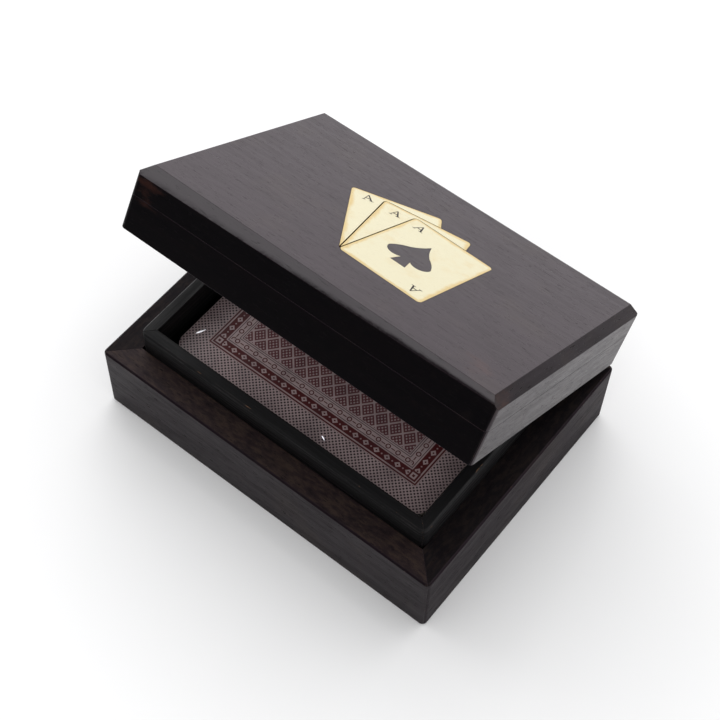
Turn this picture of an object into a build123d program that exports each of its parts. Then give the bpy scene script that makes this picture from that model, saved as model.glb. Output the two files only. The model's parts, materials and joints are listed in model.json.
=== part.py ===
from build123d import *
import math
import os

# Hinged wooden box for one pack of playing cards.
# Millimetres, +Z up. The origin is the middle of the base's underside, X runs along
# the long side, the front is at -Y and the hinges are along the back.

# ---- Pack of cards, which the whole box is built round ----
card_length = 88.0
card_width = 58.0
card_thickness = 0.32
card_corner_radius = 3.5
card_count = 55
pack_end_gap = 2.4
pack_side_gap = 3.15
pack_below_rim = 0.1

# ---- Liner: thin strips that line the well and stand above the rim as a lip ----
liner_thickness = 3.6
lip_rise = 8.5
lip_corner_radius = 2.2
lip_ease = 0.5
lining_thickness = 0.8

# ---- Base: four mitred rails round a bottom board ----
rim_width = 8.0
corner_radius = 1.5
edge_ease = 0.5
bottom_thickness = 7.0
bottom_rabbet = 4.0

# ---- Lid: four mitred rails under a thick chamfered board ----
lid_open_angle = 31.0
lid_gap = 0.15
lid_margin = 0.8
lid_clearance = 0.7
lid_rail_height = 10.5
board_thickness = 9.2
board_chamfer = 2.7
front_chamfer_left = 3.2
front_chamfer_right = 1.5

# ---- Inlay: three fanned brass cards with a dark spade, let in flush ----
plate_width = 26.6
plate_height = 38.0
plate_corner_radius = 1.2
plate_thickness = 1.2
fan_pivot_x = -5.05
fan_pivot_y = -23.4
fan_first_angle = -2.0
fan_step_angle = 15.2
seam_width = 0.35
inlay_clearance = 0.05
spade_half_width = 6.9
spade_tip_height = 11.0
spade_lobe_drop = 3.1
spade_neck_half = 1.5
spade_foot_half = 2.4
spade_foot_drop = 6.3
spade_shift_x = -1.45
spade_shift_y = -1.7

# ---- Butt hinges: two, let into the back rails ----
hinge_end_distance = 26.0
hinge_length = 20.0
leaf_depth = 6.0
leaf_thickness = 1.0
knuckle_radius = 1.5
knuckle_gap = 0.2
barrel_gap = 0.25
notch_gap = 0.3
pin_radius = 0.6
pin_press_gap = 0.02
pin_running_gap = 0.06

# ---- Countersunk screws: two in each leaf ----
screw_end_distance = 4.0
screw_radius = 1.0
screw_head_radius = 1.8
screw_length = 6.0
screw_gap = 0.02
screw_inset = 2.9

# ---- Worked out from the above ----
well_length = card_length + 2 * pack_end_gap
well_width = card_width + 2 * pack_side_gap
cavity_length = well_length + 2 * liner_thickness
cavity_width = well_width + 2 * liner_thickness
base_length = cavity_length + 2 * rim_width
base_width = cavity_width + 2 * rim_width
base_back = base_width / 2

lining_top = bottom_thickness + lining_thickness
stack_height = (card_count - 1) * card_thickness
base_height = lining_top + stack_height + card_thickness + pack_below_rim
lip_top = base_height + lip_rise

lid_bottom = base_height + lid_gap
lid_length = base_length - 2 * lid_margin
lid_width = base_width - lid_margin
lid_center_y = lid_margin / 2
lid_cavity_length = cavity_length + 2 * lid_clearance
lid_cavity_width = cavity_width + 2 * lid_clearance
board_bottom = lid_bottom + lid_rail_height
board_top = board_bottom + board_thickness
pocket_floor = board_top - plate_thickness

axis_y = base_back + barrel_gap + knuckle_radius
axis_z = base_height + lid_gap / 2
leaf_front = base_back - leaf_depth
left_hinge_x = hinge_end_distance - base_length / 2
right_hinge_x = base_length / 2 - hinge_end_distance
screw_y = leaf_front + screw_inset
knuckle_pitch = hinge_length / 3
lid_knuckle_length = knuckle_pitch - knuckle_gap
base_knuckle_length = knuckle_pitch - knuckle_gap / 2
screw_spacing = hinge_length - 2 * screw_end_distance
screw_head_height = screw_head_radius - screw_radius

# The lid's own plane keeps the closed lid's coordinates and is turned back about the
# hinge axis, so every lid piece is drawn as if the box were shut.
open_angle = math.radians(lid_open_angle)
lid_normal = (0, math.sin(open_angle), math.cos(open_angle))
hinge_plane = Plane(origin=(0, axis_y, axis_z), x_dir=(1, 0, 0), z_dir=lid_normal)
lid_origin = hinge_plane.from_local_coords((0, -axis_y, -axis_z))
lid_plane = Plane(origin=lid_origin, x_dir=(1, 0, 0), z_dir=lid_normal)
base_plane = Plane.XY

os.makedirs("parts", exist_ok=True)


def save(piece, name):
    """Label a finished piece and write it under its own name."""
    piece.part.label = name
    export_step(piece.part, f"parts/{name}.step")
    print(f"{name}: {piece.part.volume:.1f} mm3")


def mitre_corners(side, outer_length, outer_width, inner_length, inner_width, center_y=0.0):
    """Plan of one side of a mitred frame, from the outer corners in to the inner ones."""
    xo, yo = outer_length / 2, outer_width / 2
    xi, yi = inner_length / 2, inner_width / 2
    outer = [(-xo, center_y - yo), (xo, center_y - yo), (xo, center_y + yo), (-xo, center_y + yo)]
    inner = [(-xi, -yi), (xi, -yi), (xi, yi), (-xi, yi)]
    first = ("front", "right", "back", "left").index(side)
    second = (first + 1) % 4
    return [outer[first], outer[second], inner[second], inner[first]]


def outer_normal(side):
    """Direction in which the named side of the box faces."""
    return {"front": (0, -1, 0), "right": (1, 0, 0), "back": (0, 1, 0), "left": (-1, 0, 0)}[side]


# ---- Base rails ----
for side in ("front", "back", "left", "right"):
    corners = mitre_corners(side, base_length, base_width, cavity_length, cavity_width)
    with BuildPart() as base_rail:
        with BuildSketch(base_plane):
            RectangleRounded(base_length, base_width, corner_radius)
            Rectangle(cavity_length, cavity_width, mode=Mode.SUBTRACT)
            Polygon(*corners, align=None, mode=Mode.INTERSECT)
        extrude(amount=base_height)
        # eased along the outer top and bottom edges
        outside = base_rail.faces().sort_by(Axis((0, 0, 0), outer_normal(side)))[-1]
        chamfer(outside.edges().filter_by(Axis.Z, reverse=True), edge_ease)
        # rabbet for the bottom board
        with BuildSketch(base_plane):
            Rectangle(cavity_length + 2 * bottom_rabbet, cavity_width + 2 * bottom_rabbet)
        extrude(amount=bottom_thickness, mode=Mode.SUBTRACT)
        if side == "back":
            for hinge_x in (left_hinge_x, right_hinge_x):
                # mortise for the hinge leaf, open to the back face
                with BuildSketch(base_plane.offset(base_height)):
                    with Locations((hinge_x, leaf_front)):
                        Rectangle(hinge_length, leaf_depth, align=(Align.CENTER, Align.MIN))
                extrude(amount=-leaf_thickness, mode=Mode.SUBTRACT)
                # pilot holes for the leaf's screws
                with BuildSketch(base_plane.offset(base_height - leaf_thickness)):
                    with Locations((hinge_x, screw_y)):
                        with GridLocations(screw_spacing, 0, 2, 1):
                            Circle(screw_radius + screw_gap)
                extrude(amount=-screw_length, mode=Mode.SUBTRACT)
    save(base_rail, f"base_{side}_rail")

# ---- Bottom board ----
with BuildPart() as base_bottom_board:
    with BuildSketch(base_plane):
        Rectangle(cavity_length + 2 * bottom_rabbet, cavity_width + 2 * bottom_rabbet)
    extrude(amount=bottom_thickness)
save(base_bottom_board, "base_bottom_board")

# ---- Liner strips ----
for side in ("front", "back", "left", "right"):
    corners = mitre_corners(side, cavity_length, cavity_width, well_length, well_width)
    with BuildPart() as liner_strip:
        with BuildSketch(base_plane.offset(bottom_thickness)):
            RectangleRounded(cavity_length, cavity_width, lip_corner_radius)
            Rectangle(well_length, well_width, mode=Mode.SUBTRACT)
            Polygon(*corners, align=None, mode=Mode.INTERSECT)
        extrude(amount=lip_top - bottom_thickness)
        # the lip's top edge is eased on its outer side
        outside = liner_strip.faces().sort_by(Axis((0, 0, 0), outer_normal(side)))[-1]
        chamfer(outside.edges().group_by(Axis.Z)[-1], lip_ease)
    save(liner_strip, f"liner_{side}_strip")

# ---- Felt on the floor of the well ----
with BuildPart() as well_lining:
    with BuildSketch(base_plane.offset(bottom_thickness)):
        Rectangle(well_length, well_width)
    extrude(amount=lining_thickness)
save(well_lining, "well_lining")

# ---- Pack of cards: the stack, and the card that lies on top of it ----
with BuildPart() as card_stack:
    with BuildSketch(base_plane.offset(lining_top)):
        RectangleRounded(card_length, card_width, card_corner_radius)
    extrude(amount=stack_height)
save(card_stack, "card_stack")

with BuildPart() as top_card:
    with BuildSketch(base_plane.offset(lining_top + stack_height)):
        RectangleRounded(card_length, card_width, card_corner_radius)
    extrude(amount=card_thickness)
save(top_card, "top_card")

# ---- Lid rails ----
for side in ("front", "back", "left", "right"):
    corners = mitre_corners(
        side, lid_length, lid_width, lid_cavity_length, lid_cavity_width, lid_center_y
    )
    with BuildPart() as lid_rail:
        with BuildSketch(lid_plane.offset(lid_bottom)):
            with Locations((0, lid_center_y)):
                RectangleRounded(lid_length, lid_width, corner_radius)
            Rectangle(lid_cavity_length, lid_cavity_width, mode=Mode.SUBTRACT)
            Polygon(*corners, align=None, mode=Mode.INTERSECT)
        extrude(amount=lid_rail_height)
        if side == "back":
            for hinge_x in (left_hinge_x, right_hinge_x):
                # mortise for the hinge leaf, open to the back face
                with BuildSketch(lid_plane.offset(lid_bottom)):
                    with Locations((hinge_x, leaf_front)):
                        Rectangle(hinge_length, leaf_depth, align=(Align.CENTER, Align.MIN))
                extrude(amount=leaf_thickness, mode=Mode.SUBTRACT)
                # pilot holes for the leaf's screws
                with BuildSketch(lid_plane.offset(lid_bottom + leaf_thickness)):
                    with Locations((hinge_x, screw_y)):
                        with GridLocations(screw_spacing, 0, 2, 1):
                            Circle(screw_radius + screw_gap)
                extrude(amount=screw_length, mode=Mode.SUBTRACT)
    save(lid_rail, f"lid_{side}_rail")


# ---- Inlay outlines, shared by the plates and by the pocket they lie in ----
def plate_outline(index, growth=0.0):
    """Sketch of one card of the fan: 0 is the front card, 2 the card at the back."""
    angle = fan_first_angle + index * fan_step_angle
    with BuildSketch(Plane.XY, mode=Mode.PRIVATE) as outline:
        with Locations(Location((fan_pivot_x, fan_pivot_y), angle)):
            RectangleRounded(
                plate_width, plate_height, plate_corner_radius, align=(Align.MIN, Align.MIN)
            )
        if growth:
            offset(amount=growth)
    return outline.sketch


def spade_outline(growth=0.0):
    """Sketch of a spade pip on the front card: it is widest at its own origin, tip up."""
    hollow_point = (0.20 * spade_half_width, 0.70 * spade_tip_height)
    shoulder = (0.47 * spade_half_width, 0.45 * spade_tip_height)
    side_point = (0.81 * spade_half_width, 0.22 * spade_tip_height)
    lobe_point = (0.78 * spade_half_width, -0.93 * spade_lobe_drop)
    neck = (spade_neck_half, -0.72 * spade_lobe_drop)
    foot = (spade_foot_half, -spade_foot_drop)
    center = (plate_width / 2 + spade_shift_x, plate_height / 2 + spade_shift_y)
    with BuildSketch(Plane.XY, mode=Mode.PRIVATE) as pip:
        with BuildLine():
            ThreePointArc((0, spade_tip_height), hollow_point, shoulder)
            ThreePointArc(shoulder, side_point, (spade_half_width, 0))
            ThreePointArc((spade_half_width, 0), lobe_point, neck)
            Line(neck, foot)
            Line(foot, (0, -spade_foot_drop))
            Line((0, -spade_foot_drop), (0, spade_tip_height))
        make_face()
        mirror(about=Plane.YZ)
        if growth:
            offset(amount=growth)
    turned = Location((fan_pivot_x, fan_pivot_y), fan_first_angle) * Location(center)
    return turned * pip.sketch


def chamfer_plane(side, start, end):
    """Plane of the chamfer along one side of the board: start and end are its two widths."""
    outward = Vector(*outer_normal(side))
    along = Vector(0, 0, 1).cross(outward)
    reach, half_side = lid_width / 2, lid_length / 2
    if side in ("right", "left"):
        reach, half_side = half_side, reach
    slope = along * ((end - start) / (2 * half_side))
    middle = Vector(0, lid_center_y, board_top) + outward * (reach - (start + end) / 2)
    origin = lid_plane.from_local_coords(middle)
    above = lid_plane.from_local_coords(middle + outward + Vector(0, 0, 1) + slope)
    return Plane(origin=origin, z_dir=above - origin)


# ---- Lid board: planed chamfers all round, the front one running narrower to the right ----
with BuildPart() as lid_board:
    with BuildSketch(lid_plane.offset(board_bottom)):
        with Locations((0, lid_center_y)):
            RectangleRounded(lid_length, lid_width, corner_radius)
    extrude(amount=board_thickness)
    front_chamfer = chamfer_plane("front", front_chamfer_left, front_chamfer_right)
    split(bisect_by=front_chamfer, keep=Keep.BOTTOM)
    for side in ("right", "back", "left"):
        even_chamfer = chamfer_plane(side, board_chamfer, board_chamfer)
        split(bisect_by=even_chamfer, keep=Keep.BOTTOM)
    # pocket for the whole fan
    with BuildSketch(lid_plane.offset(pocket_floor)):
        for index in range(3):
            add(plate_outline(index, inlay_clearance))
    extrude(amount=plate_thickness, mode=Mode.SUBTRACT)
save(lid_board, "lid_board")

# ---- Brass plates ----
with BuildPart() as front_plate:
    with BuildSketch(lid_plane.offset(pocket_floor)):
        add(plate_outline(0))
        add(spade_outline(inlay_clearance), mode=Mode.SUBTRACT)
    extrude(amount=plate_thickness)
save(front_plate, "ace_plate_front")

with BuildPart() as middle_plate:
    with BuildSketch(lid_plane.offset(pocket_floor)):
        add(plate_outline(1))
        add(plate_outline(0, seam_width), mode=Mode.SUBTRACT)
    extrude(amount=plate_thickness)
save(middle_plate, "ace_plate_middle")

with BuildPart() as back_plate:
    with BuildSketch(lid_plane.offset(pocket_floor)):
        add(plate_outline(2))
        add(plate_outline(1, seam_width), mode=Mode.SUBTRACT)
        add(plate_outline(0, seam_width), mode=Mode.SUBTRACT)
    extrude(amount=plate_thickness)
save(back_plate, "ace_plate_back")

with BuildPart() as spade_inlay:
    with BuildSketch(lid_plane.offset(pocket_floor)):
        add(spade_outline())
    extrude(amount=plate_thickness)
save(spade_inlay, "spade_inlay")

# ---- Hinges ----
for hand, hinge_x in (("left", left_hinge_x), ("right", right_hinge_x)):
    # The barrel is drawn on planes square to the hinge axis, which runs along X.
    barrel_start = hinge_x - hinge_length / 2
    lid_knuckle_start = hinge_x - lid_knuckle_length / 2
    far_knuckle_start = hinge_x + hinge_length / 2 - base_knuckle_length

    with BuildPart() as base_leaf:
        with BuildSketch(base_plane.offset(base_height - leaf_thickness)):
            with Locations((hinge_x, leaf_front)):
                Rectangle(hinge_length, axis_y - leaf_front, align=(Align.CENTER, Align.MIN))
            with Locations((hinge_x, base_back - notch_gap)):
                Rectangle(
                    lid_knuckle_length + 2 * knuckle_gap,
                    axis_y - leaf_front,
                    align=(Align.CENTER, Align.MIN),
                    mode=Mode.SUBTRACT,
                )
        extrude(amount=leaf_thickness)
        for start in (barrel_start, far_knuckle_start):
            with BuildSketch(Plane.YZ.offset(start)):
                with Locations((axis_y, axis_z)):
                    Circle(knuckle_radius)
            extrude(amount=base_knuckle_length)
        with BuildSketch(Plane.YZ.offset(barrel_start)):
            with Locations((axis_y, axis_z)):
                Circle(pin_radius + pin_press_gap)
        extrude(amount=hinge_length, mode=Mode.SUBTRACT)
        with Locations(base_plane.offset(base_height)):
            with Locations((hinge_x, screw_y)):
                with GridLocations(screw_spacing, 0, 2, 1):
                    CounterSinkHole(screw_radius + screw_gap, screw_head_radius + screw_gap)
    save(base_leaf, f"hinge_{hand}_base_leaf")

    with BuildPart() as lid_leaf:
        with BuildSketch(lid_plane.offset(lid_bottom)):
            with Locations((hinge_x, leaf_front)):
                Rectangle(
                    hinge_length, leaf_depth - notch_gap, align=(Align.CENTER, Align.MIN)
                )
                Rectangle(
                    lid_knuckle_length, axis_y - leaf_front, align=(Align.CENTER, Align.MIN)
                )
        extrude(amount=leaf_thickness)
        with BuildSketch(Plane.YZ.offset(lid_knuckle_start)):
            with Locations((axis_y, axis_z)):
                Circle(knuckle_radius)
        extrude(amount=lid_knuckle_length)
        with BuildSketch(Plane.YZ.offset(lid_knuckle_start)):
            with Locations((axis_y, axis_z)):
                Circle(pin_radius + pin_running_gap)
        extrude(amount=lid_knuckle_length, mode=Mode.SUBTRACT)
        with Locations(-lid_plane.offset(lid_bottom)):
            with Locations((hinge_x, -screw_y)):
                with GridLocations(screw_spacing, 0, 2, 1):
                    CounterSinkHole(screw_radius + screw_gap, screw_head_radius + screw_gap)
    save(lid_leaf, f"hinge_{hand}_lid_leaf")

    with BuildPart() as hinge_pin:
        with BuildSketch(Plane.YZ.offset(barrel_start)):
            with Locations((axis_y, axis_z)):
                Circle(pin_radius)
        extrude(amount=hinge_length)
    save(hinge_pin, f"hinge_{hand}_pin")

    # Screws point down into the base and up into the lid.
    for owner, seat, into in (
        ("base", base_plane.offset(base_height), -1),
        ("lid", lid_plane.offset(lid_bottom), 1),
    ):
        for number, shift in enumerate((-screw_spacing / 2, screw_spacing / 2), start=1):
            head = seat.from_local_coords((hinge_x + shift, screw_y, 0))
            with BuildPart() as screw:
                with BuildSketch(Plane(origin=head, x_dir=(1, 0, 0), z_dir=seat.y_dir * -into)):
                    with BuildLine():
                        Polyline(
                            (0, 0),
                            (screw_head_radius, 0),
                            (screw_radius, screw_head_height),
                            (screw_radius, screw_length),
                            (0, screw_length),
                            close=True,
                        )
                    make_face()
                revolve(axis=Axis(head, seat.z_dir), revolution_arc=360)
            save(screw, f"hinge_{hand}_{owner}_screw_{number}")
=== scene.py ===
import json
import math

import bpy
from mathutils import Matrix, Quaternion, Vector


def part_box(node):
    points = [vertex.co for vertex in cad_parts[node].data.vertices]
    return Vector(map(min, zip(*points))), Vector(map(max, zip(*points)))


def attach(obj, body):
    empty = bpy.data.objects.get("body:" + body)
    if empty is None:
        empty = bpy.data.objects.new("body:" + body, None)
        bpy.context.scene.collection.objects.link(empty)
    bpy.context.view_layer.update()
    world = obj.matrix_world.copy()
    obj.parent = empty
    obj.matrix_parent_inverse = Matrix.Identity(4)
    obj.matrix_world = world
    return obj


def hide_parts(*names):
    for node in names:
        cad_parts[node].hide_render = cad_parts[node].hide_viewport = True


# The looks of a hinged, ebonised playing card box: rounded wood, felt, a wrapped pack of
# cards, brass inlay and hinges. Metres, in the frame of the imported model.
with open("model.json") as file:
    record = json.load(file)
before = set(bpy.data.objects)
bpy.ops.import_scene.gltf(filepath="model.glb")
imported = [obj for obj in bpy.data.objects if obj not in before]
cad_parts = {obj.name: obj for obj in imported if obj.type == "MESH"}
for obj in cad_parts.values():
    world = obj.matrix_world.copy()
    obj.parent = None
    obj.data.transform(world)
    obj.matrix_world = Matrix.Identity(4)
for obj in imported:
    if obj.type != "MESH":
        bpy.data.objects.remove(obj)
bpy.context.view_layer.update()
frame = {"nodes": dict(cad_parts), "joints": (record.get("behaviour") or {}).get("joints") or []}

MM = 0.001

# ---- Sizes that the frame gives ----
HINGE = frame["joints"][0]
HINGE_LINE = Vector(HINGE["pos_m"])
OPEN_ANGLE = math.radians(-HINGE["range_deg"][0])
OPENED = (Matrix.Translation(HINGE_LINE) @ Matrix.Rotation(-OPEN_ANGLE, 4, "X")
          @ Matrix.Translation(-HINGE_LINE))
CLOSED = OPENED.inverted()
CARD_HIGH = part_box("top_card")[1]
STACK_LOW, STACK_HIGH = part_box("card_stack")

# ---- Cards, in millimetres ----
CARD_LENGTH, CARD_WIDTH, CARD_CORNER = 88.0, 58.0, 3.5
CARD_COUNT = 53
CARD_SCATTER = 0.12
# how much of its share of the pack's height each sheet fills
SHEET_SHARE = 0.86

# ---- Card back print: how far in from the card's edge each thing lies, in millimetres ----
DOTS_FADE = (6.9, 6.7)
OUTER_LINE = (7.0, 7.5)
FRAME_BAND = (7.9, 10.5)
FRAME_MIDDLE = 9.2
CHAIN_BAND = (11.2, 13.1)
CHAIN_MIDDLE = 12.15
THIN_LINES = ((10.9, 11.1), (13.2, 13.4), (13.8, 14.0))
FIELD_FADE = (14.2, 14.35)
INK_BLUR = 0.07
DOT_PITCH = 1.3
LOZENGES_ALONG, LOZENGES_ACROSS = 19, 11
RING_PITCH, RING_RADIUS = 3.4, 0.62
LATTICE_LENGTH, LATTICE_WIDTH = 4.9, 5.6
SPECKS_PER_CELL = 4

# ---- Folds of the clear film, on the top card in millimetres ----
# Start and end of each, its width, and the way it faces.
FILM_FOLDS = (
    ((-41.5, -22.5), (-40.1, -19.4), 0.55, (0.52, -0.44, 0.73)),
    ((7.6, -25.9), (9.3, -26.8), 0.45, (-0.23, -0.445, 0.866)),
    ((-37.9, -26.0), (-36.9, -26.9), 0.16, (-0.23, -0.445, 0.866)),
)
FOLD_STEPS = 10
FOLD_CLEARANCE = 0.02
# as shares of a fold's width: how far it bulges, and how wide its ends stay
FOLD_BULGE = 0.05
FOLD_POINT = 0.02
FOLD_FULLNESS = 0.7

# ---- Chamfer and inlay, in millimetres on the closed lid ----
BOARD_TOP = 45.35
CHAMFER_ENDS = (-57.2, 57.2)
CHAMFER_WIDTHS = (3.2, 1.5)
PLATE_WIDTH, PLATE_HEIGHT = 26.6, 38.0
FAN_PIVOT = (-5.05, -23.4, 0.0)
FAN_TURNS = {"front": -2.0, "middle": 13.2, "back": 28.4}
# where down the front chamfer, as a share of its width, it starts to roll over, and how fast
ROLL_START = 0.58
ROLL_DEPTH = 1.7

# ---- Rank marks, in millimetres on the closed lid ----
RANK_SCALE = 1.12
RANK_LOW, RANK_HIGH = -0.02, 0.03
# thin left leg, heavy right leg, crossbar and the two feet, with the mark's middle at (0, 0)
RANK_STROKES = (
    ((-1.20, -1.42), (-1.02, -1.42), (0.12, 1.5), (-0.06, 1.5)),
    ((0.66, -1.42), (1.16, -1.42), (0.22, 1.5), (-0.10, 1.5)),
    ((-0.76, -0.52), (0.72, -0.52), (0.66, -0.26), (-0.64, -0.26)),
    ((-1.52, -1.5), (-0.64, -1.5), (-0.64, -1.36), (-1.52, -1.36)),
    ((0.30, -1.5), (1.50, -1.5), (1.50, -1.36), (0.30, -1.36)),
)
# middle of each mark, and how far it is turned
RANK_PLACES = (((-17.1, 9.5), 28.4), ((-8.1, 10.5), 13.2), ((0.2, 10.6), -2.0),
               ((17.0, -20.0), 178.0))

# ---- Screws, in millimetres ----
SCREW_LENGTH = 6.0
SCREW_HEAD_RADIUS, SCREW_SHANK_RADIUS, SCREW_TIP_RADIUS = 1.8, 1.0, 0.45
SCREW_HEAD_HEIGHT = 0.8
SLOT_LENGTH, SLOT_WIDTH, SLOT_DEPTH = 5.0, 0.55, 0.45
HEAD_SIDES, SHANK_SIDES = 24, 16

# ---- How far the edges are rounded ----
WOOD_EASE = 0.16 * MM
LID_EASE = 0.18 * MM
LIP_EASE = 0.14 * MM
BRASS_EASE = 0.05 * MM
EASE_STEPS = 2
# edges that turn by fewer degrees stay as they are
EASE_LIMIT = 28
HINGE_EASE_LIMIT = 40
WELD_DISTANCE = 0.001 * MM
FLAT_LIMIT = math.radians(1.0)

# ---- Directions, on the closed box ----
UP, DOWN, FORE, BACK, LEFT, RIGHT = ((0, 0, 1), (0, 0, -1), (0, -1, 0), (0, 1, 0),
                                     (-1, 0, 0), (1, 0, 0))
FRONT_SLOPE, RIGHT_SLOPE, BACK_SLOPE, LEFT_SLOPE = ((0, -1, 1), (1, 0, 1), (0, 1, 1),
                                                    (-1, 0, 1))

# ---- Camera: the photographed view ----
AIM = Vector((-1.6, 2.9, 20.0)) * MM
VIEW_AZIMUTH = 36.586
VIEW_ELEVATION = 57.683
VIEW_ROLL = 2.141
VIEW_DISTANCE = 466.75 * MM
LENS = 81.2

# ---- Light and stage, in metres ----
ROOM_LIGHT = 0.84
# name, azimuth and elevation in degrees, and brightness
SOFTBOXES = (("left softbox", 270, 35, 1.5), ("back softbox", 315, 35, 1.5),
             ("top softbox", 0, 62, 1.8))
SOFTBOX_SIZE = (1.1, 1.0)
SOFTBOX_DISTANCE = 1.6
SOFTBOX_TARGET = Vector((0, 0, 0.03))
FLOOR_SIZE = 6.0
DARK_CARD_LOW, DARK_CARD_HIGH = Vector((-0.60, -0.30, 0.0)), Vector((0.30, -0.30, 0.50))

# ---- Finishes, as linear colours ----
EBONISED = (0.0075, 0.0034, 0.0060, 1)
# painted shade: a blacker black for faces that stand in shade, the lid's front and the side rims'
# tops
EBONISED_SHADED = (0.0024, 0.0021, 0.0027, 1)
EBONISED_BROWN = (0.026, 0.0165, 0.0125, 1)
EBONISED_PLUM = (0.0100, 0.0034, 0.0078, 1)
REDDISH = (0.024, 0.0115, 0.0090, 1)
MOTTLED_BROWN = (0.034, 0.022, 0.016, 1)
RED_BROWN = (0.060, 0.020, 0.013, 1)
PORE_BLACK = (0.0030, 0.0016, 0.0022, 1)
BARE_WOOD = (0.16, 0.085, 0.045, 1)
LINER_BLACK = (0.0030, 0.0028, 0.0034, 1)
LINER_GREY = (0.0085, 0.0078, 0.0088, 1)
LINER_WORN = (0.022, 0.018, 0.018, 1)
FELT_BLACK = (0.010, 0.009, 0.010, 1)
WOOD_TINT = (1.0, 0.86, 0.94, 1)
NEUTRAL_TINT = (1.0, 0.96, 0.99, 1)
BRASS = (0.80, 0.745, 0.54, 1)
BRASS_GOLD = (0.72, 0.52, 0.20, 1)
OLD_BRASS = (0.42, 0.30, 0.12, 1)
CARD_WHITE = (0.44, 0.34, 0.34, 1)
CARD_MAROON = (0.075, 0.008, 0.010, 1)
CARD_VIOLET = (0.030, 0.014, 0.022, 1)
CARD_MAUVE = (0.115, 0.038, 0.044, 1)
CARD_EDGE = (0.55, 0.51, 0.46, 1)
CARD_EDGE_GREY = (0.42, 0.39, 0.34, 1)
ENGRAVED_BLACK = (0.012, 0.008, 0.007, 1)
# painted glint: the white of the film's folds
FILM_SHINE = (0.95, 0.95, 1.0, 1)
FLOOR_WHITE = (0.90, 0.90, 0.905, 1)

# ---- Grain: how fine each pattern of the wood is, and how much finer across than along ----
CLOUD_SCALE, STREAK_SCALE, FIBRE_SCALE, PORE_SCALE = 0.06, 0.045, 0.22, 0.30
MOTTLE_SCALE, BLOTCH_SCALE, BARE_SCALE = 0.10, 0.18, 0.55
GRAIN = {"x": (1, 9, 9), "y": (9, 1, 9)}
LINER_BRUSH = {"x": (0.05, 0.9, 0.9), "y": (0.9, 0.05, 0.9)}
LINER_DASH = {"x": (0.22, 1.2, 1.2), "y": (1.2, 0.22, 1.2)}


# ---- Nodes of a material ----
class Finish:
    """A material whose nodes are laid one after another. Its patterns are in millimetres."""

    def __init__(self, name, **levels):
        self.material = bpy.data.materials.new(name)
        self.material.use_nodes = True
        self.tree = self.material.node_tree
        self.shader = self.tree.nodes["Principled BSDF"]
        self.set(**levels)

    def node(self, kind, inputs=None, **settings):
        made = self.tree.nodes.new("ShaderNode" + kind)
        for name, value in settings.items():
            setattr(made, name, value)
        for name, value in (inputs or {}).items():
            self.put(made.inputs[name], value)
        return made

    def put(self, socket, value):
        if isinstance(value, bpy.types.NodeSocket):
            self.tree.links.new(value, socket)
        else:
            socket.default_value = value

    def set(self, **values):
        """Values or links for the surface's own sockets, such as base_color."""
        for name, value in values.items():
            socket = name.replace("_", " ").title().replace("Ior", "IOR")
            self.put(self.shader.inputs[socket], value)

    def calc(self, operation, *values):
        numbers = dict(enumerate(values))
        return self.node("Math", numbers, operation=operation).outputs[0]

    def place(self, on_lid=False):
        """Object coordinates in millimetres; on the lid, as if it were closed."""
        turn = CLOSED if on_lid else Matrix.Identity(4)
        spot = self.node("TexCoord").outputs["Object"]
        placed = self.node("Mapping", {"Vector": spot, "Location": turn.translation / MM,
                                       "Rotation": turn.to_euler(), "Scale": (1 / MM,) * 3})
        return placed.outputs[0]

    def stretched(self, vector, stretch):
        return self.node("Mapping", {"Vector": vector, "Scale": stretch}).outputs[0]

    def split(self, vector):
        return self.node("SeparateXYZ", {0: vector}).outputs

    def noise(self, vector, scale=1.0, detail=3.0, rough=0.5, warp=0.0):
        made = self.node("TexNoise", {"Vector": vector, "Scale": scale, "Detail": detail,
                                      "Roughness": rough, "Distortion": warp})
        return made.outputs["Fac"]

    def rise(self, value, start, end, low=0.0, high=1.0):
        """A smooth step from low to high as the value goes from start to end."""
        made = self.node("MapRange", {0: value, 1: start, 2: end, 3: low, 4: high},
                         interpolation_type="SMOOTHSTEP")
        return made.outputs[0]

    def mix(self, share, first, second):
        return self.node("Mix", {0: share, 6: first, 7: second}, data_type="RGBA").outputs[2]

    def off(self, value, middle):
        """How far the value is from the middle, either way."""
        return self.calc("ABSOLUTE", self.calc("SUBTRACT", value, middle))

    def bump(self, height, distance, strength=1.0):
        made = self.node("Bump", {"Height": height, "Distance": distance * MM,
                                  "Strength": strength})
        self.put(self.shader.inputs["Normal"], made.outputs[0])


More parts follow.
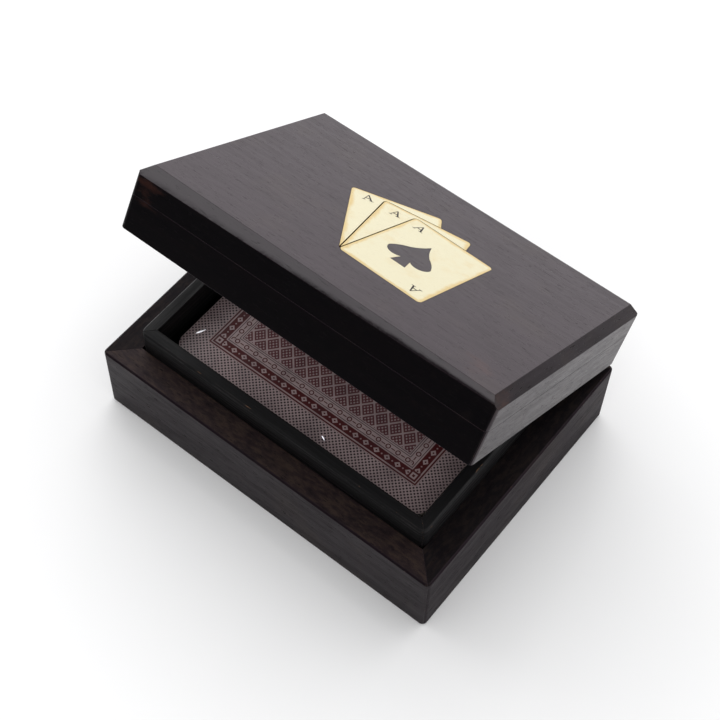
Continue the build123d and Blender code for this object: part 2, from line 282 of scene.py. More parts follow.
def wood(name, on_lid, along, shine=0.42, brown=0.0, worn=0.0, rough=0.0, black=EBONISED,
         patches=(), rounded=False, fine=1.0, mottled=0.0):
    """Black-stained wood with satin polish: streaks and short dark pores along the grain.

    Shine and rough set the polish, and fine the width of the grain. Along is the grain's way.
    Brown, worn and mottled say how far the stain has turned brown, has rubbed off or is uneven;
    a brown below zero keeps it blacker. Each patch is a red-brown spot, as its middle in
    millimetres and its radius. Where it is rounded, the face rolls over at its lower edge.
    """
    look = Finish(name, specular_ior_level=shine,
                  specular_tint=NEUTRAL_TINT if rounded else WOOD_TINT)
    spot = look.place(on_lid)
    grain = [fine * share for share in GRAIN[along]]

    def drawn_out(scale, detail, coarse, warp=0.0, pull=1.0):
        """A noise that is drawn out along the grain, less so with a smaller pull."""
        stretch = tuple(scale * share ** pull for share in grain)
        return look.noise(look.stretched(spot, stretch), 1.0, detail, coarse, warp)

    streaks = drawn_out(STREAK_SCALE, 4, 0.6, 0.4)
    fibres = drawn_out(FIBRE_SCALE, 3, 0.6)
    pits = look.rise(drawn_out(PORE_SCALE, 2, 0.5), 0.36, 0.30)
    mottle = drawn_out(MOTTLE_SCALE, 5, 0.75, pull=0.5)
    clouds = look.noise(spot, CLOUD_SCALE, 3, 0.6)
    stain = look.mix(look.rise(clouds, 0.50, 0.72, brown, brown + 0.35), black,
                     EBONISED_BROWN)
    stain = look.mix(look.rise(streaks, 0.42, 0.66, 0, 0.4), stain, PORE_BLACK)
    stain = look.mix(look.rise(mottle, 0.58, 0.72, 0, 0.25 + 0.6 * brown), stain, REDDISH)
    for middle, radius in patches:
        away = look.node("VectorMath", {0: spot, 1: middle}, operation="DISTANCE").outputs[1]
        ragged = look.calc("ADD", away, look.rise(mottle, 0.3, 0.7, 0.6 * radius, -0.6 * radius))
        stain = look.mix(look.rise(ragged, radius, 0.0, 0, 0.35), stain, RED_BROWN)
    if mottled:
        blotches = drawn_out(BLOTCH_SCALE, 5, 0.8, pull=0.5)
        stain = look.mix(look.rise(blotches, 0.44, 0.62, 0, mottled), stain, MOTTLED_BROWN)
        stain = look.mix(look.rise(blotches, 0.46, 0.34, 0, mottled), stain, PORE_BLACK)
    stain = look.mix(pits, stain, PORE_BLACK)
    if worn:
        bare = look.noise(spot, BARE_SCALE, 4, 0.7)
        stain = look.mix(look.rise(bare, 0.68 - 0.08 * worn, 0.76, 0, 0.7), stain, BARE_WOOD)
    polish = look.calc("ADD", look.rise(streaks, 0.3, 0.7, 0.27 + rough, 0.36 + rough),
                       look.rise(fibres, 0.3, 0.7, 0, 0.07))
    polish = look.calc("ADD", polish, look.calc("MULTIPLY", pits, 0.25))
    look.set(base_color=stain, roughness=polish)
    height = look.calc("SUBTRACT", look.calc("MULTIPLY", fibres, 0.35), pits)
    height = look.calc("MULTIPLY", height, 0.04)
    if rounded:
        height = look.calc("SUBTRACT", height, rolled_over(look, spot))
    look.bump(height, 1.0)
    return look.material


def rolled_over(look, spot):
    """How far the chamfer has fallen away, in millimetres, where it rolls into the front."""
    x, _, z = look.split(spot)
    width = look.rise(x, *CHAMFER_ENDS, *CHAMFER_WIDTHS)
    share = look.calc("DIVIDE", look.calc("SUBTRACT", BOARD_TOP, z), width)
    soft = look.noise(spot, 0.25, 3, 0.6)
    share = look.calc("ADD", share, look.rise(soft, 0.3, 0.7, -0.04, 0.04))
    past = look.calc("MAXIMUM", look.calc("SUBTRACT", share, ROLL_START), 0.0)
    return look.calc("MULTIPLY", look.calc("POWER", past, 2), ROLL_DEPTH)


def liner_wood(name, along, worn=False):
    """Thin black strips, brushed along their length; worn edges show dashes of bare wood."""
    look = Finish(name, specular_ior_level=0.22)
    spot = look.place()
    soft = look.noise(spot, 0.16, 4, 0.7)
    brushed = look.noise(look.stretched(spot, LINER_BRUSH[along]), 1.0, 4, 0.7)
    stain = look.mix(look.rise(brushed, 0.45, 0.65, 0, 0.8), LINER_BLACK, LINER_GREY)
    if worn:
        dashes = look.noise(look.stretched(spot, LINER_DASH[along]), 1.0, 3, 0.7)
        stain = look.mix(look.rise(soft, 0.45, 0.65, 0, 0.6), stain, LINER_WORN)
        stain = look.mix(look.rise(dashes, 0.63, 0.69, 0, 0.9), stain, BARE_WOOD)
    look.set(base_color=stain, roughness=look.rise(brushed, 0.35, 0.68, 0.70, 0.40))
    look.bump(look.calc("ADD", brushed, soft), 0.10, 0.7)
    return look.material


def felt(name):
    """Black felt with a soft nap."""
    look = Finish(name, roughness=1.0, sheen_weight=0.3, sheen_roughness=0.6,
                  specular_ior_level=0.1)
    spot = look.place()
    fuzz = look.noise(spot, 3.0, 4, 0.8)
    look.set(base_color=look.mix(look.rise(fuzz, 0.3, 0.7), FELT_BLACK, EBONISED_BROWN))
    look.bump(fuzz, 0.25)
    return look.material


def inlay_brass(name, turn):
    """Pale polished brass, golden in soft clouds and along the margins, finely scratched."""
    look = Finish(name, metallic=1.0)
    spot = look.place(on_lid=True)
    clouds = look.noise(spot, 0.12, 3, 0.6)
    scratches = look.noise(look.stretched(spot, (0.5, 6.0, 1.0)), 1.0, 4, 0.7)
    on_card = look.node("Mapping", {"Vector": spot, "Location": FAN_PIVOT,
                                    "Rotation": (0, 0, math.radians(turn))},
                        vector_type="TEXTURE").outputs[0]
    across, up, _ = look.split(on_card)
    margin = look.calc("MINIMUM", look.calc("PINGPONG", across, PLATE_WIDTH / 2),
                       look.calc("PINGPONG", up, PLATE_HEIGHT / 2))
    margin = look.calc("ADD", margin, look.rise(clouds, 0.3, 0.7, -0.5, 0.5))
    colour = look.mix(look.rise(clouds, 0.50, 0.75, 0, 0.30), BRASS, BRASS_GOLD)
    look.set(base_color=look.mix(look.rise(margin, 1.4, 0.2, 0, 0.75), colour, BRASS_GOLD),
             roughness=look.rise(scratches, 0.3, 0.75, 0.26, 0.42))
    look.bump(scratches, 0.01, 0.4)
    return look.material


def hinge_brass(name, dulled):
    """Brushed brass that has gone dull in places."""
    look = Finish(name, metallic=1.0)
    spot = look.place()
    dull = look.noise(spot, 0.35, 4, 0.7)
    brushed = look.noise(look.stretched(spot, (0.6, 8.0, 8.0)), 1.0, 4, 0.7)
    look.set(base_color=look.mix(look.rise(dull, 0.4, 0.7), dulled, BRASS_GOLD),
             roughness=look.calc("ADD", look.rise(dull, 0.3, 0.7, 0.2, 0.35),
                                 look.calc("MULTIPLY", brushed, 0.15)))
    look.bump(brushed, 0.006, 0.5)
    return look.material


def engraved_black(name):
    """The dull black fill of a cut in the brass."""
    look = Finish(name)
    spot = look.place()
    fine = look.noise(spot, 2.0, 3, 0.6)
    paler = tuple(1.6 * share for share in ENGRAVED_BLACK[:3]) + (1,)
    look.set(base_color=look.mix(fine, ENGRAVED_BLACK, paler),
             roughness=look.rise(fine, 0.3, 0.7, 0.54, 0.66))
    look.bump(fine, 0.01, 0.5)
    return look.material


def card_edges(name):
    """Cut paper edges, greyed unevenly from sheet to sheet."""
    look = Finish(name, roughness=0.7)
    height = look.split(look.place())[2]
    soft = look.noise(look.stretched(look.place(), (0.2, 0.2, 3.0)), 1.0, 3, 0.6)
    look.set(base_color=look.mix(look.rise(soft, 0.4, 0.7, 0, 0.5), CARD_EDGE,
                                 CARD_EDGE_GREY))
    look.bump(look.calc("ADD", soft, look.calc("SINE", height)), 0.02, 0.4)
    return look.material


def card_back(name):
    """A traditional print: dots round a maroon frame of lozenges, a chain and a lattice."""
    look = Finish(name, specular_ior_level=0.5, coat_weight=0.35, coat_roughness=0.12)
    x, y, _ = look.split(look.place())
    depth_x = look.calc("SUBTRACT", CARD_LENGTH / 2, look.calc("ABSOLUTE", x))
    depth_y = look.calc("SUBTRACT", CARD_WIDTH / 2, look.calc("ABSOLUTE", y))
    depth = look.calc("MINIMUM", depth_x, depth_y)
    at_ends = look.calc("LESS_THAN", depth_x, depth_y)

    def band(start, end):
        """One where the depth lies between start and end."""
        return look.calc("MULTIPLY", look.rise(depth, start - INK_BLUR, start + INK_BLUR),
                         look.rise(depth, end + INK_BLUR, end - INK_BLUR))

    def along(pitch_x, pitch_y):
        """Distance to the nearest motif's middle, as a share of the pitch of that side."""
        turns = look.node("Mix", {0: at_ends, 2: look.calc("DIVIDE", x, pitch_x),
                                  3: look.calc("DIVIDE", y, pitch_y)}).outputs[0]
        return look.calc("PINGPONG", turns, 0.5)

    def both(one, other):
        """As far as the one share says and also the other."""
        return look.calc("MULTIPLY", one, other)

    def diamond(across, half_across, up, half_up):
        """Below one inside a diamond of that half length, and half height in millimetres."""
        return look.calc("ADD", look.calc("DIVIDE", across, half_across),
                         look.calc("DIVIDE", up, half_up))

    def over(share, colour):
        """That colour printed over what is there, as far as the share says."""
        nonlocal printed
        printed = look.mix(share, printed, colour)

    def waves_of(value, pace):
        """A cosine wave along the value."""
        return look.calc("COSINE", look.calc("MULTIPLY", value, pace))

    # staggered dots of the border
    slants = [waves_of(look.calc(way, x, y), math.tau / DOT_PITCH) for way in ("ADD", "SUBTRACT")]
    dots = look.rise(look.calc("ADD", *slants), 0.10, 0.75)
    printed = look.mix(both(dots, look.rise(depth, *DOTS_FADE)), CARD_WHITE, CARD_VIOLET)
    # maroon frame with pale lozenges, small diamonds between them and a square at each corner
    in_frame = band(*FRAME_BAND)
    over(band(*OUTER_LINE), CARD_MAROON)
    over(in_frame, CARD_MAROON)
    step = along((CARD_LENGTH - 2 * FRAME_MIDDLE) / LOZENGES_ALONG,
                 (CARD_WIDTH - 2 * FRAME_MIDDLE) / LOZENGES_ACROSS)
    off_line = look.off(depth, FRAME_MIDDLE)
    lozenge = diamond(step, 0.30, off_line, 0.95)
    over(both(look.rise(lozenge, 1.05, 0.9), in_frame), CARD_WHITE)
    over(look.rise(lozenge, 0.42, 0.28), CARD_MAROON)
    between = diamond(look.calc("SUBTRACT", 0.5, step), 0.09, off_line, 0.32)
    over(both(look.rise(between, 1.1, 0.8), in_frame), CARD_WHITE)
    from_corner = look.calc("MAXIMUM", look.off(depth_x, FRAME_MIDDLE),
                            look.off(depth_y, FRAME_MIDDLE))
    over(look.rise(from_corner, 1.50, 1.40), CARD_MAROON)
    over(look.rise(from_corner, 0.95, 0.82), CARD_WHITE)
    over(look.rise(from_corner, 0.45, 0.32), CARD_MAROON)
    # thin lines and a chain of small rings
    for line in THIN_LINES:
        over(band(*line), CARD_VIOLET)
    in_chain = band(*CHAIN_BAND)
    ring_step = look.calc("MULTIPLY", along(RING_PITCH, RING_PITCH), RING_PITCH)
    ring_off = look.off(depth, CHAIN_MIDDLE)
    ring = look.calc("SQRT", look.calc("ADD", look.calc("POWER", ring_step, 2),
                                       look.calc("POWER", ring_off, 2)))
    over(both(look.rise(look.off(ring, RING_RADIUS), 0.22, 0.10), in_chain), CARD_MAROON)
    link = both(look.rise(ring_off, 0.20, 0.10), look.rise(ring_step, 1.0, 1.15))
    over(both(link, in_chain), CARD_MAROON)
    # lattice of the field, with a patch of specks in each cell
    in_field = look.rise(depth, *FIELD_FADE)
    lean = [look.calc(way, look.calc("DIVIDE", x, LATTICE_LENGTH),
                      look.calc("DIVIDE", y, LATTICE_WIDTH)) for way in ("ADD", "SUBTRACT")]
    halves = [look.calc("PINGPONG", turns, 0.5) for turns in lean]
    over(in_field, CARD_MAUVE)
    from_middle = look.calc("MAXIMUM", *[look.calc("SUBTRACT", 0.5, half) for half in halves])
    fine = [waves_of(turns, SPECKS_PER_CELL * math.tau) for turns in lean]
    specks = look.rise(look.calc("ADD", *fine), 0.3, 0.9)
    over(both(both(specks, look.rise(from_middle, 0.33, 0.28)), in_field), CARD_WHITE)
    line = look.rise(look.calc("MINIMUM", *halves), 0.085, 0.055)
    over(both(line, in_field), CARD_WHITE)
    # uneven ink and the film's soft waves
    grime = look.noise(look.place(), 0.12, 4, 0.6)
    printed = look.mix(look.rise(grime, 0.4, 0.75, 0, 0.35), printed, CARD_VIOLET)
    waves = look.noise(look.stretched(look.place(), (0.05, 0.16, 1.0)), 1.0, 3, 0.5, 1.0)
    look.set(base_color=printed, roughness=look.rise(grime, 0.3, 0.7, 0.32, 0.46))
    look.bump(waves, 0.5, 0.6)
    return look.material


FRONT_WOOD = wood("front wood", False, "x", shine=0.14, rough=0.14)
SIDE_WOOD = wood("side wood", False, "y", shine=0.10, rough=0.20)
RIM_X = wood("rim along x", False, "x", shine=0.17, brown=0.35, rough=0.14, fine=1.5,
             mottled=0.75)
# the side rims' tops: their blacker colour is painted shade from the lid above
SHADED_RIM_Y = wood("shaded rim along y", False, "y", shine=0.12, brown=-0.10, rough=0.28, fine=1.5,
             black=EBONISED_SHADED, mottled=0.25)
BASE_EDGE_X = wood("worn edge along x", False, "x", shine=0.20, worn=0.6, rough=0.1)
BASE_EDGE_Y = wood("worn edge along y", False, "y", shine=0.20, worn=0.6, rough=0.1)
LID_TOP = wood("lid top wood", True, "x", shine=0.62, black=EBONISED_PLUM, fine=1.4,
               patches=(((46.0, -34.0, BOARD_TOP), 5.0),))
# the lid's front: its blacker colour is painted shade; the red-brown patch at its left corner is
# a real stain
SHADED_LID_FRONT = wood("shaded lid front wood", True, "x", shine=0.06, brown=-0.25, rough=0.10,
                 black=EBONISED_SHADED, patches=(((-53.0, -42.9, 40.0), 5.0),))
LID_BACK = wood("lid back wood", True, "x", shine=0.22, rough=0.04)
FRONT_CHAMFER = wood("front chamfer wood", True, "x", shine=0.80, brown=-0.15, rough=0.04,
                     rounded=True)
LID_SIDE = wood("lid side wood", True, "y", shine=0.40, fine=1.7)
END_CHAMFER = wood("end chamfer wood", True, "y", shine=0.12, brown=0.0, rough=0.05,
                   patches=(((57.0, -38.0, 44.0), 6.0),))
LID_EDGE = wood("worn lid edge", True, "x", shine=0.20, worn=0.4, rough=0.05)
SPADE_WOOD = wood("spade wood", True, "x", shine=0.70)
LINERS = {along: (liner_wood(f"black liner along {along}", along),
                  liner_wood(f"worn liner edge along {along}", along, worn=True))
          for along in "xy"}
FELT = felt("black felt")
PLATE_BRASS = {plate: inlay_brass(f"{plate} plate brass", turn)
               for plate, turn in FAN_TURNS.items()}
HINGE_BRASS = hinge_brass("hinge brass", OLD_BRASS)
SCREW_BRASS = hinge_brass("screw brass", BRASS)
ENGRAVED = engraved_black("engraved black")
CARD_EDGES = card_edges("card edges")
CARD_BACK = card_back("card back")
# painted glint: the film's folds are a white near-mirror, not clear film, so that they show as
# bright streaks
FILM_FOLD_GLINT = Finish("film fold glint", metallic=0.9, roughness=0.12,
                     base_color=FILM_SHINE).material


# ---- Pieces ----
def linked(name, mesh, *materials):
    """A piece with that mesh, at the origin."""
    piece = bpy.data.objects.new(name, mesh)
    bpy.context.collection.objects.link(piece)
    mesh.materials.clear()
    for material in materials:
        mesh.materials.append(material)
    return piece


def finished(piece):
    """The piece with its modifiers turned into plain mesh."""
    bpy.context.view_layer.update()
    shown = piece.evaluated_get(bpy.context.evaluated_depsgraph_get())
    mesh = bpy.data.meshes.new_from_object(shown)
    piece.modifiers.clear()
    piece.data = mesh
    return piece


def facing(mesh, on_lid, choices):
    """Each face takes the material whose direction, on the closed box, it faces most."""
    turn = CLOSED.to_3x3() if on_lid else Matrix.Identity(3)
    ways = [Vector(way).normalized() for way, _ in choices]
    for polygon in mesh.polygons:
        normal = turn @ polygon.normal
        best = max(range(len(ways)), key=lambda index: normal.dot(ways[index]))
        polygon.material_index = best + 1


def eased_copy(node, body, choices, edge, ease, limit=EASE_LIMIT):
    """A copy of a solid with every edge rounded, which then stands for it."""
    mesh = frame["nodes"][node].data.copy()
    piece = linked("eased_" + node, mesh, edge, *[material for _, material in choices])
    weld = piece.modifiers.new("weld", "WELD")
    weld.merge_threshold = WELD_DISTANCE
    flat = piece.modifiers.new("flat", "DECIMATE")
    flat.decimate_type = "DISSOLVE"
    flat.angle_limit = FLAT_LIMIT
    finished(piece)
    facing(piece.data, body == "lid", choices)
    bevel = piece.modifiers.new("ease", "BEVEL")
    bevel.width = ease
    bevel.segments = EASE_STEPS
    bevel.limit_method = "ANGLE"
    bevel.angle_limit = math.radians(limit)
    bevel.material = 0
    evened = piece.modifiers.new("evened", "WEIGHTED_NORMAL")
    evened.weight = 100
    piece.data.shade_smooth()
    finished(piece)
    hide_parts(node)
    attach(piece, body)


def on_closed_lid(x, y, height=0.0):
    """The place, on the opened lid, of a point of the closed lid's top in millimetres."""
    return OPENED @ (Vector((x, y, BOARD_TOP + height)) * MM)


def prisms(name, outlines, low, high, place):
    """Flat shapes given a thickness. Each outline runs counter-clockwise as seen from above."""
    points, faces = [], []
    for outline in outlines:
        first, count = len(points), len(outline)
        points += [place(x, y, level) for level in (low, high) for x, y in outline]
        faces.append([first + count + step for step in range(count)])
        faces.append([first + step for step in reversed(range(count))])
        for step in range(count):
            following = (step + 1) % count
            faces.append((first + step, first + following, first + count + following,
                          first + count + step))
    mesh = bpy.data.meshes.new(name)
    mesh.from_pydata(points, [], faces)
    mesh.validate()
    return mesh


def rank_marks():
    """A small letter in a corner of each plate, and one more upside down on the front plate."""
    outlines = []
    for (middle_x, middle_y), angle in RANK_PLACES:
        turn = Matrix.Rotation(math.radians(angle), 2)
        for stroke in RANK_STROKES:
            turned = [turn @ Vector(point) * RANK_SCALE for point in stroke]
            outlines.append([(point.x + middle_x, point.y + middle_y) for point in turned])
    mesh = prisms("rank marks", outlines, RANK_LOW, RANK_HIGH, on_closed_lid)
    piece = linked("rank_marks", mesh, ENGRAVED)
    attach(piece, "lid")


class Growth:
    """A Geometry Nodes group with named inputs, ready to be turned into plain mesh."""

    def __init__(self, name, **inputs):
        self.group = bpy.data.node_groups.new(name, "GeometryNodeTree")
        new_socket = self.group.interface.new_socket
        new_socket("Geometry", in_out="INPUT", socket_type="NodeSocketGeometry")
        new_socket("Geometry", in_out="OUTPUT", socket_type="NodeSocketGeometry")
        self.sockets, self.values = {}, {}
        for name, value in inputs.items():
            kind = ("NodeSocketInt" if isinstance(value, int) else
                    "NodeSocketMaterial" if isinstance(value, bpy.types.Material) else
                    "NodeSocketVector" if isinstance(value, tuple) else "NodeSocketFloat")
            shown = name.replace("_", " ").capitalize()
            made = new_socket(shown, in_out="INPUT", socket_type=kind)
            self.sockets[name], self.values[name] = made, value
        self.given = self.group.nodes.new("NodeGroupInput").outputs
        self.result = self.group.nodes.new("NodeGroupOutput")

    def get(self, name):
        return self.given[self.sockets[name].name]

    def node(self, kind, inputs=None, **settings):
        made = self.group.nodes.new(kind)
        for name, value in settings.items():
            setattr(made, name, value)
        for name, value in (inputs or {}).items():
            if isinstance(value, (list, bpy.types.NodeSocket)):
                for link in value if isinstance(value, list) else [value]:
                    self.group.links.new(link, made.inputs[name])
            else:
                made.inputs[name].default_value = value
        return made.outputs[0]

    def deliver(self, instances):
        """The group's result: the instances as real mesh, in the material that it is given."""
        plain = self.node("GeometryNodeRealizeInstances", {"Geometry": instances})
        painted = self.node("GeometryNodeSetMaterial", {"Geometry": plain,
                                                        "Material": self.get("material")})
        self.group.links.new(painted, self.result.inputs[0])

    def grow(self, name, mesh, smooth=30):
        """The piece that the group makes of the mesh, as plain mesh."""
        piece = linked(name, mesh)
        growth = piece.modifiers.new("growth", "NODES")
        growth.node_group = self.group
        for key, value in self.values.items():
            growth[self.sockets[key].identifier] = value
        finished(piece)
        piece.data.shade_smooth()
        piece.data.set_sharp_from_angle(angle=math.radians(smooth))
        return piece


def pack_of_cards():
    """Every card below the printed one, each lying a hair out of line with its neighbours."""
    pitch = (STACK_HIGH.z - STACK_LOW.z) / CARD_COUNT
    pack = Growth("pack of cards", cards=CARD_COUNT, pitch=pitch, length=CARD_LENGTH * MM,
                  width=CARD_WIDTH * MM, corner=CARD_CORNER * MM, thickness=SHEET_SHARE * pitch,
                  scatter=CARD_SCATTER * MM, seed=7, material=CARD_EDGES)
    outline = pack.node("GeometryNodeCurvePrimitiveQuadrilateral",
                        {"Width": pack.get("length"), "Height": pack.get("width")})
    rounded = pack.node("GeometryNodeFilletCurve", {"Curve": outline, "Count": 4,
                                                    "Radius": pack.get("corner")}, mode="POLY")
    flat = pack.node("GeometryNodeFillCurve", {"Curve": rounded}, mode="NGONS")
    raised = pack.node("GeometryNodeExtrudeMesh", {
        "Mesh": flat, "Offset Scale": pack.get("thickness"), "Individual": False}, mode="FACES")
    under = pack.node("GeometryNodeFlipFaces", {"Mesh": flat})
    whole = pack.node("GeometryNodeJoinGeometry", {"Geometry": [raised, under]})
    card = pack.node("GeometryNodeMergeByDistance", {"Geometry": whole,
                                                     "Distance": WELD_DISTANCE})
    rise_by = pack.node("ShaderNodeCombineXYZ", {"Z": pack.get("pitch")})
    levels = pack.node("GeometryNodeMeshLine", {"Count": pack.get("cards"), "Offset": rise_by})
    far = pack.node("ShaderNodeCombineXYZ", {"X": pack.get("scatter"), "Y": pack.get("scatter")})
    back = pack.node("ShaderNodeVectorMath", {0: far, "Scale": -1.0}, operation="SCALE")
    out_of_line = pack.node("FunctionNodeRandomValue", {
        "Min": back, "Max": far, "Seed": pack.get("seed")}, data_type="FLOAT_VECTOR")
    laid = pack.node("GeometryNodeSetPosition", {"Geometry": levels, "Offset": out_of_line})
    pack.deliver(pack.node("GeometryNodeInstanceOnPoints", {"Points": laid, "Instance": card}))
    piece = pack.grow("pack_of_cards", bpy.data.meshes.new("pack of cards"))
    middle = (STACK_LOW + STACK_HIGH) / 2
    piece.data.transform(Matrix.Translation((middle.x, middle.y, STACK_LOW.z)))
    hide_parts("card_stack")
    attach(piece, "base")


def own_middle(node, on_lid):
    """The middle of a node's box, measured square to its own body."""
    shown = frame["nodes"][node]
    turn = CLOSED if on_lid else Matrix.Identity(4)
    corners = [turn @ shown.matrix_world @ vertex.co for vertex in shown.data.vertices]
    low = Vector([min(corner[axis] for corner in corners) for axis in range(3)])
    high = Vector([max(corner[axis] for corner in corners) for axis in range(3)])
    return turn.inverted() @ ((low + high) / 2)


def slotted_screws(body, upright):
    """Countersunk screws for one body's hinge leaves, their slots turned at random."""
    nodes = [f"hinge_{side}_{body}_screw_{number}" for side in ("left", "right")
             for number in (1, 2)]
    places = [own_middle(node, body == "lid") for node in nodes]
    mesh = bpy.data.meshes.new(f"{body} screws")
    mesh.from_pydata(places, [], [])
    screw = Growth(f"{body} screws", head_radius=SCREW_HEAD_RADIUS * MM,
                   shank_radius=SCREW_SHANK_RADIUS * MM, tip_radius=SCREW_TIP_RADIUS * MM,
                   length=SCREW_LENGTH * MM, head_height=SCREW_HEAD_HEIGHT * MM,
                   slot_length=SLOT_LENGTH * MM, slot_width=SLOT_WIDTH * MM,
                   slot_depth=SLOT_DEPTH * MM, upright=tuple(upright), seed=3,
                   material=SCREW_BRASS)

    def calc(operation, first, second):
        return screw.node("ShaderNodeMath", {0: first, 1: second}, operation=operation)

    def raised(shape, height):
        """The shape, moved up by the height."""
        offset = screw.node("ShaderNodeCombineXYZ", {"Z": height})
        return screw.node("GeometryNodeTransform", {"Geometry": shape, "Translation": offset})

    half = calc("MULTIPLY", screw.get("length"), 0.5)
    head = screw.node("GeometryNodeMeshCone", {
        "Vertices": HEAD_SIDES, "Radius Top": screw.get("head_radius"),
        "Radius Bottom": screw.get("shank_radius"), "Depth": screw.get("head_height")})
    head = raised(head, calc("SUBTRACT", half, screw.get("head_height")))
    shank = screw.node("GeometryNodeMeshCone", {
        "Vertices": SHANK_SIDES, "Radius Top": screw.get("shank_radius"),
        "Radius Bottom": screw.get("tip_radius"),
        "Depth": calc("SUBTRACT", screw.get("length"), screw.get("head_height"))})
    shank = raised(shank, calc("MULTIPLY", half, -1.0))
    size = screw.node("ShaderNodeCombineXYZ", {
        "X": screw.get("slot_length"), "Y": screw.get("slot_width"),
        "Z": calc("MULTIPLY", screw.get("slot_depth"), 2.0)})
    blade = raised(screw.node("GeometryNodeMeshCube", {"Size": size}), half)
    slotted = screw.node("GeometryNodeMeshBoolean", {"Mesh 1": head, "Mesh 2": blade},
                         operation="DIFFERENCE")
    whole = screw.node("GeometryNodeJoinGeometry", {"Geometry": [slotted, shank]})
    turn = screw.node("FunctionNodeRandomValue", {
        "Min": 0.0, "Max": math.pi, "Seed": screw.get("seed")}, data_type="FLOAT")
    stood = screw.node("GeometryNodeInstanceOnPoints", {
        "Points": screw.given["Geometry"], "Instance": whole, "Rotation": screw.get("upright")})
    spin = screw.node("ShaderNodeCombineXYZ", {"Z": turn})
    screw.deliver(screw.node("GeometryNodeRotateInstances", {
        "Instances": stood, "Rotation": spin, "Local Space": True}))
    piece = screw.grow(f"{body}_screws", mesh)
    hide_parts(*nodes)
    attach(piece, body)


def film_folds():
    """Short pointed creases, each a curved sliver that stands on the top card; their finish is a
    painted glint.
    """
    points, faces = [], []
    card_top = CARD_HIGH.z / MM
    for start, end, width, way in FILM_FOLDS:
        facing_way = Vector(way).normalized()
        start, end = (Vector((*spot, card_top)) for spot in (start, end))
        ahead = end - start
        side = facing_way.cross(ahead).normalized()
        lift = abs(side.z) * width / 2 + FOLD_CLEARANCE
        first = len(points)
        for step in range(FOLD_STEPS + 1):
            share = step / FOLD_STEPS
            swell = math.sin(math.pi * share) ** FOLD_FULLNESS + FOLD_POINT
            middle = start + ahead * share + Vector((0, 0, lift))
            for across, bulge in ((-0.5, 0.0), (0.0, FOLD_BULGE), (0.5, 0.0)):
                points.append(middle + side * (across * width * swell)
                              + facing_way * (bulge * width * swell))
        for step in range(FOLD_STEPS):
            for lane in range(2):
                corner = first + 3 * step + lane
                faces.append((corner, corner + 3, corner + 4, corner + 1))
    mesh = bpy.data.meshes.new("film folds")
    mesh.from_pydata([point * MM for point in points], [], faces)
    piece = linked("film_folds", mesh, FILM_FOLD_GLINT)
    mesh.shade_smooth()
    if mesh.polygons[0].normal.z < 0:
        mesh.flip_normals()
    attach(piece, "base")


# which finish each side of the wooden pieces takes
along_x = ((UP, RIM_X), (FORE, FRONT_WOOD), (BACK, FRONT_WOOD), (DOWN, FRONT_WOOD))
along_y = ((UP, SHADED_RIM_Y), (LEFT, SIDE_WOOD), (RIGHT, SIDE_WOOD), (DOWN, SIDE_WOOD))
lid_along_x = ((FORE, SHADED_LID_FRONT), (BACK, LID_BACK), (UP, SHADED_LID_FRONT), (DOWN, LID_BACK))
lid_along_y = ((LEFT, LID_SIDE), (RIGHT, LID_SIDE), (UP, LID_SIDE), (DOWN, LID_SIDE))
board_faces = ((UP, LID_TOP), (FRONT_SLOPE, FRONT_CHAMFER), (BACK_SLOPE, LID_TOP),
               (FORE, SHADED_LID_FRONT), (BACK, LID_BACK), (DOWN, SHADED_LID_FRONT),
               (RIGHT_SLOPE, END_CHAMFER), (LEFT_SLOPE, END_CHAMFER),
               (RIGHT, LID_SIDE), (LEFT, LID_SIDE))

for side in ("front", "back"):
    eased_copy(f"base_{side}_rail", "base", along_x, BASE_EDGE_X, WOOD_EASE)
    eased_copy(f"lid_{side}_rail", "lid", lid_along_x, LID_EDGE, LID_EASE)
for side in ("left", "right"):
    eased_copy(f"base_{side}_rail", "base", along_y, BASE_EDGE_Y, WOOD_EASE)
    eased_copy(f"lid_{side}_rail", "lid", lid_along_y, LID_EDGE, LID_EASE)
for side, along in (("front", "x"), ("back", "x"), ("left", "y"), ("right", "y")):
    face, edge = LINERS[along]
    eased_copy(f"liner_{side}_strip", "base", ((UP, face),), edge, LIP_EASE)
eased_copy("lid_board", "lid", board_faces, LID_EDGE, LID_EASE)
eased_copy("base_bottom_board", "base", ((UP, FRONT_WOOD),), BASE_EDGE_X,
           WOOD_EASE)
for plate, brass in PLATE_BRASS.items():
    eased_copy(f"ace_plate_{plate}", "lid", ((UP, brass),), brass, BRASS_EASE)
eased_copy("spade_inlay", "lid", ((UP, SPADE_WOOD),), SPADE_WOOD, BRASS_EASE)
for side in ("left", "right"):
    for part, body in (("base_leaf", "base"), ("pin", "base"), ("lid_leaf", "lid")):
        eased_copy(f"hinge_{side}_{part}", body, ((UP, HINGE_BRASS),), HINGE_BRASS,
                   BRASS_EASE, HINGE_EASE_LIMIT)
rank_marks()
pack_of_cards()
slotted_screws("base", (0.0, 0.0, 0.0))
slotted_screws("lid", (OPENED @ Matrix.Rotation(math.pi, 4, "X")).to_euler())
film_folds()
frame["nodes"]["well_lining"].data.materials[0] = FELT
frame["nodes"]["top_card"].data.materials[0] = CARD_BACK


# ---- Floor, light and camera ----
def from_round(azimuth, elevation, distance):
    """A place round the box: azimuth 0 is behind it, and 270 is on its left."""
    turn, tilt = math.radians(azimuth), math.radians(elevation)
    return distance * Vector((math.sin(turn) * math.cos(tilt), math.cos(turn) * math.cos(tilt),
                              math.sin(tilt)))


def softbox(name, azimuth, elevation, radiance):
    """A soft rectangular lamp that faces the box."""
    lamp = bpy.data.lights.new(name, "AREA")
    lamp.shape = "RECTANGLE"
    lamp.size, lamp.size_y = SOFTBOX_SIZE
    lamp.energy = radiance * math.pi * lamp.size * lamp.size_y
    shown = bpy.data.objects.new(name, lamp)
    bpy.context.collection.objects.link(shown)
    shown.location = from_round(azimuth, elevation, SOFTBOX_DISTANCE)
    shown.rotation_euler = (SOFTBOX_TARGET - shown.location).to_track_quat("-Z", "Y").to_euler()
    shown.visible_camera = False


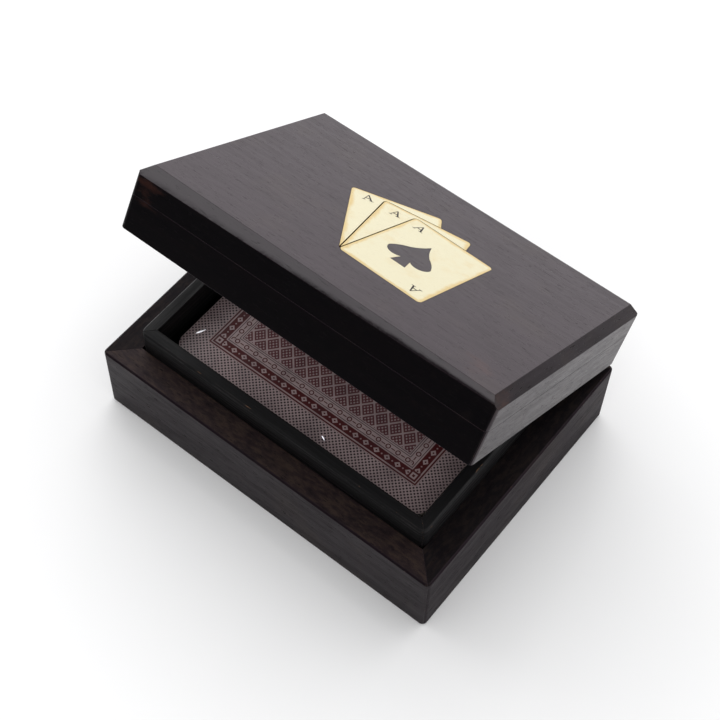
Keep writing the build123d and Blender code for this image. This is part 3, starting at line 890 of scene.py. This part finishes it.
def pale_room():
    """Even light from all round, before a backdrop that is white to the eye and in polish."""
    world = bpy.data.worlds.new("pale room")
    bpy.context.scene.world = world
    world.use_nodes = True
    tree = world.node_tree
    light = tree.nodes["Background"]
    light.inputs["Color"].default_value = (1, 1, 1, 1)
    light.inputs["Strength"].default_value = ROOM_LIGHT
    backdrop = tree.nodes.new("ShaderNodeBackground")
    backdrop.inputs["Color"].default_value = (1, 1, 1, 1)
    path = tree.nodes.new("ShaderNodeLightPath")
    seen = path.outputs["Is Camera Ray"]
    for way in ("Is Glossy Ray", "Is Transmission Ray"):
        either = tree.nodes.new("ShaderNodeMath")
        either.operation = "MAXIMUM"
        tree.links.new(seen, either.inputs[0])
        tree.links.new(path.outputs[way], either.inputs[1])
        seen = either.outputs[0]
    shown = tree.nodes.new("ShaderNodeMixShader")
    tree.links.new(seen, shown.inputs[0])
    tree.links.new(light.outputs[0], shown.inputs[1])
    tree.links.new(backdrop.outputs[0], shown.inputs[2])
    tree.links.new(shown.outputs[0], tree.nodes["World Output"].inputs["Surface"])


def dark_card():
    """A black card that stands in front, outside the view, and darkens the front's polish."""
    low, high = DARK_CARD_LOW, DARK_CARD_HIGH
    mesh = bpy.data.meshes.new("dark card")
    mesh.from_pydata([low, (high.x, low.y, low.z), high, (low.x, low.y, high.z)], [],
                     [(0, 1, 2, 3)])
    look = Finish("black card", roughness=1.0, specular_ior_level=0.0)
    look.set(base_color=(0, 0, 0, 1))
    card = linked("dark_card", mesh, look.material)
    card.visible_camera = False
    card.visible_diffuse = False
    card.visible_shadow = False
    card.visible_transmission = False


def pale_floor():
    """A plain pale floor that takes the shadow."""
    bpy.ops.mesh.primitive_plane_add(size=FLOOR_SIZE)
    floor = bpy.context.object
    floor.name = "floor"
    look = Finish("pale floor", roughness=0.9, specular_ior_level=0.0)
    look.set(base_color=FLOOR_WHITE)
    floor.data.materials.append(look.material)


def photographed_view():
    """The camera, at the place from which the box was photographed."""
    azimuth, elevation = math.radians(VIEW_AZIMUTH), math.radians(VIEW_ELEVATION)
    ahead = Vector((-math.sin(azimuth) * math.cos(elevation),
                    math.cos(azimuth) * math.cos(elevation), -math.sin(elevation)))
    camera = bpy.data.objects.new("camera", bpy.data.cameras.new("camera"))
    bpy.context.collection.objects.link(camera)
    camera.data.lens = LENS
    camera.data.clip_start = 0.01
    camera.location = AIM - VIEW_DISTANCE * ahead
    turned = ahead.to_track_quat("-Z", "Y") @ Quaternion((0, 0, 1), math.radians(VIEW_ROLL))
    camera.rotation_euler = turned.to_euler()
    bpy.context.scene.camera = camera


pale_room()
pale_floor()
dark_card()
for lamp_settings in SOFTBOXES:
    softbox(*lamp_settings)
photographed_view()
bpy.context.scene.view_settings.view_transform = "Standard"
